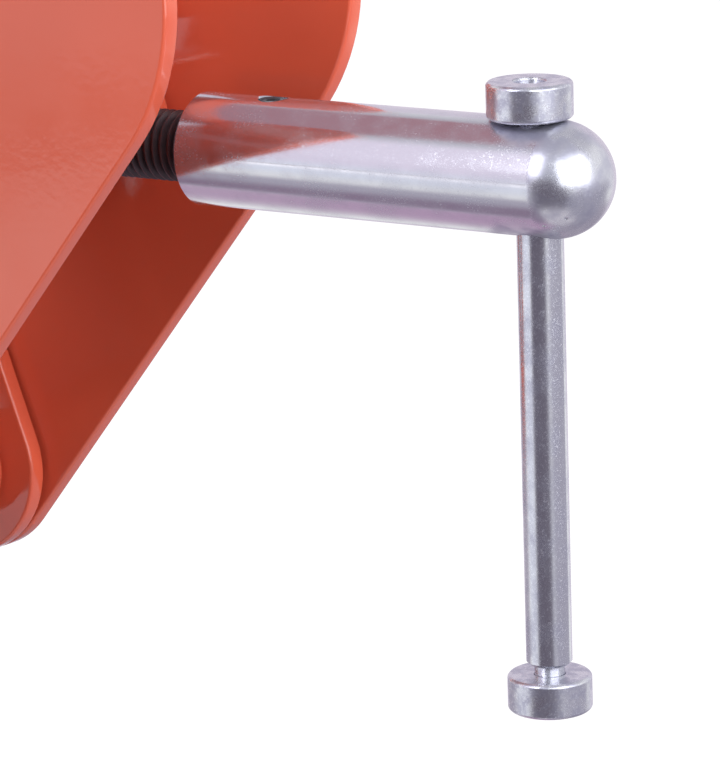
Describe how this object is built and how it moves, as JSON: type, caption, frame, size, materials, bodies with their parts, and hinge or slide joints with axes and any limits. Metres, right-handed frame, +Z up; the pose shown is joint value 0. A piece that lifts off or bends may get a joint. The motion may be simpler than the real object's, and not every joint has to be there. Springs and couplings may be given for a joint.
{
  "type": "adjustable beam clamp",
  "caption": "Screw-closed clamp that hooks over a steel beam's flange and carries a hoist on a waisted load bar; sliding tommy bar handle.",
  "frame": {"origin": "middle of the load bar, on its axis", "axes": "+X along the spindle towards its handle, +Y along the load bar, +Z up towards the hooks"},
  "size_m": [0.3608, 0.1058, 0.2385],
  "materials": {
    "orange_enamel": "glossy baked enamel",
    "zinc_plate": "bright zinc plate",
    "black_oxide": "oiled black oxide",
    "spring_steel": "dark phosphate"
  },
  "bodies": {
    "load_bar": {"load_bar": "orange_enamel", "load_bar_washers": "zinc_plate", "load_bar_rings": "spring_steel", "pivot_washers": "zinc_plate"},
    "right_jaw": {"right_front_plate": "orange_enamel", "right_rear_plate": "orange_enamel", "right_hook_block": "orange_enamel", "right_lip_bar": "orange_enamel"},
    "left_jaw": {"left_front_plate": "orange_enamel", "left_rear_plate": "orange_enamel", "left_hook_block": "orange_enamel", "left_lip_bar": "orange_enamel"},
    "right_nut": {"right_nut": "orange_enamel", "right_nut_rings": "spring_steel"},
    "left_nut": {"left_nut": "orange_enamel", "left_nut_rings": "spring_steel"},
    "stop_collar": {"stop_collar": "zinc_plate"},
    "spindle": {"spindle": "black_oxide", "collar_rings": "spring_steel", "end_collar": "zinc_plate", "end_pin": "spring_steel", "handle_sleeve": "zinc_plate", "sleeve_pin": "spring_steel"},
    "tommy_bar": {"tommy_bar": "zinc_plate", "upper_cap": "zinc_plate", "lower_cap": "zinc_plate"}
  },
  "joints": [
    {"name": "right_jaw_swing", "type": "hinge", "parent": "load_bar", "child": "right_jaw", "pos_m": [0, 0, 0], "axis": [0, 1, 0], "range_deg": [-14.1, 16.9]},
    {"name": "left_jaw_swing", "type": "hinge", "parent": "load_bar", "child": "left_jaw", "pos_m": [0, 0, 0], "axis": [0, -1, 0], "range_deg": [-14.1, 16.9]},
    {"name": "right_nut_turn", "type": "hinge", "parent": "right_jaw", "child": "right_nut", "pos_m": [0.055, 0, 0.105], "axis": [0, 1, 0], "range_deg": [-16.9, 14.1]},
    {"name": "left_nut_turn", "type": "hinge", "parent": "left_jaw", "child": "left_nut", "pos_m": [-0.055, 0, 0.105], "axis": [0, -1, 0], "range_deg": [-16.9, 14.1]},
    {"name": "spindle_travel", "type": "slide", "parent": "right_nut", "child": "stop_collar", "axis": [1, 0, 0], "range_m": [-0.0301, 0.0251]},
    {"name": "spindle_spin", "type": "hinge", "parent": "stop_collar", "child": "spindle", "pos_m": [0, 0, 0.105], "axis": [1, 0, 0], "range_deg": [-3600, 4320]},
    {"name": "tommy_bar_slide", "type": "slide", "parent": "spindle", "child": "tommy_bar", "axis": [0, -0.061, 0.9981], "range_m": [0, 0.1155]}
  ],
  "couplings": [
    {"joint": "right_jaw_swing", "follows": "spindle_spin", "ratio": 0.0038889},
    {"joint": "left_jaw_swing", "follows": "spindle_spin", "ratio": 0.0038889},
    {"joint": "right_nut_turn", "follows": "spindle_spin", "ratio": -0.0038889},
    {"joint": "left_nut_turn", "follows": "spindle_spin", "ratio": -0.0038889},
    {"joint": "spindle_travel", "follows": "spindle_spin", "m_per_rad": -0.00039789}
  ]
}
